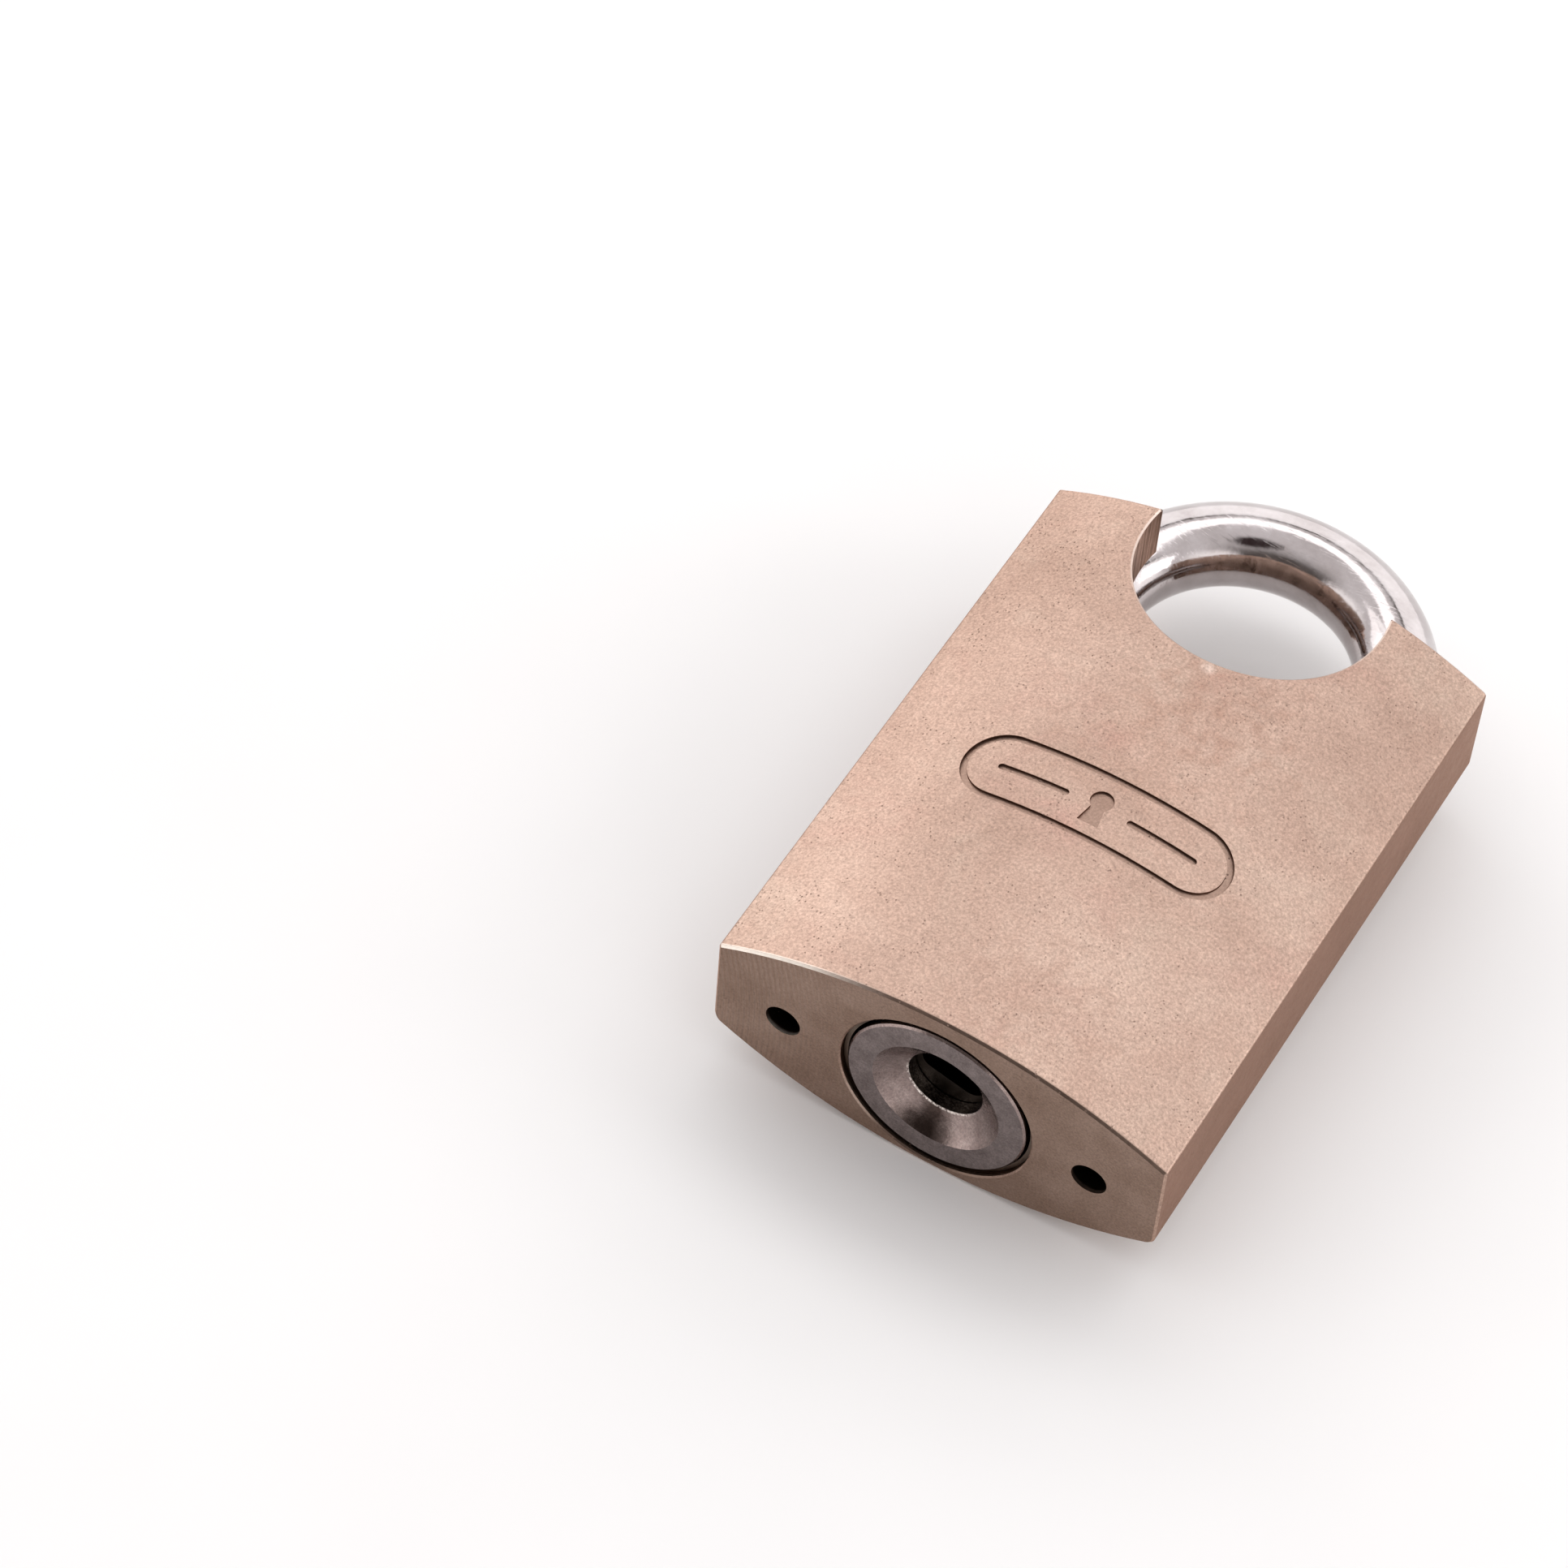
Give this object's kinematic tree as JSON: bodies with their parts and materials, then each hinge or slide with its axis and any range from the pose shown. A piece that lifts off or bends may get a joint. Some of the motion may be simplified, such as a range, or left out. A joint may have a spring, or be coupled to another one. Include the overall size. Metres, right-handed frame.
{
  "type": "padlock",
  "caption": "Closed-shackle padlock: thick bowed satin-nickel body with shrouded chrome shackle, dished disc plug and ball locking.",
  "frame": {"origin": "centre of the footprint, on the plane that the lock's back rests on", "axes": "+Y from the keyhole end towards the shackle, +X across the body, +Z out of the front face"},
  "size_m": [0.06, 0.102, 0.0294],
  "materials": {
    "satin_nickel": "satin nickel plate, warm champagne tint",
    "chrome": "polished chrome plate",
    "spring_steel": "bright drawn steel",
    "dark_steel": "oiled dark steel",
    "hardened_steel": "satin hardened steel",
    "brass": "turned brass",
    "disc_brass": "stamped brass",
    "ball_steel": "polished bearing steel"
  },
  "bodies": {
    "case": {"lock_body": "satin_nickel", "cylinder_housing": "dark_steel", "housing_pin": "spring_steel", "retaining_ring": "spring_steel", "shackle_spring": "spring_steel"},
    "plug": {"plug_face": "hardened_steel", "plug_core": "brass", "sidebar": "spring_steel", "cam": "hardened_steel", "cam_washer": "spring_steel", "code_disc_1": "disc_brass", "code_disc_2": "disc_brass", "code_disc_3": "disc_brass", "code_disc_4": "disc_brass", "code_disc_5": "disc_brass", "code_disc_6": "disc_brass", "code_disc_7": "disc_brass", "code_disc_8": "disc_brass", "code_disc_9": "disc_brass", "code_disc_10": "disc_brass", "disc_spacer_1": "spring_steel", "disc_spacer_2": "spring_steel", "disc_spacer_3": "spring_steel", "disc_spacer_4": "spring_steel", "disc_spacer_5": "spring_steel", "disc_spacer_6": "spring_steel", "disc_spacer_7": "spring_steel", "disc_spacer_8": "spring_steel", "disc_spacer_9": "spring_steel"},
    "shackle": {"shackle": "chrome"},
    "heel_ball": {"locking_ball_heel": "ball_steel"},
    "toe_ball": {"locking_ball_toe": "ball_steel"}
  },
  "joints": [
    {"name": "plug_turn", "type": "hinge", "parent": "case", "child": "plug", "pos_m": [0, 0, 0.0137], "axis": [0, 1, 0], "range_deg": [-90, 0]},
    {"name": "shackle_lift", "type": "slide", "parent": "case", "child": "shackle", "axis": [0, 1, 0], "range_m": [0, 0.0345], "deforming": ["shackle_spring"]},
    {"name": "heel_ball_slide", "type": "slide", "parent": "case", "child": "heel_ball", "axis": [1, 0, 0], "range_m": [0, 0.0013]},
    {"name": "toe_ball_slide", "type": "slide", "parent": "case", "child": "toe_ball", "axis": [-1, 0, 0], "range_m": [0, 0.0023]}
  ],
  "couplings": [
    {"joint": "heel_ball_slide", "follows": "plug_turn", "m_per_rad": -0.0008276},
    {"joint": "toe_ball_slide", "follows": "plug_turn", "m_per_rad": -0.0014642}
  ]
}
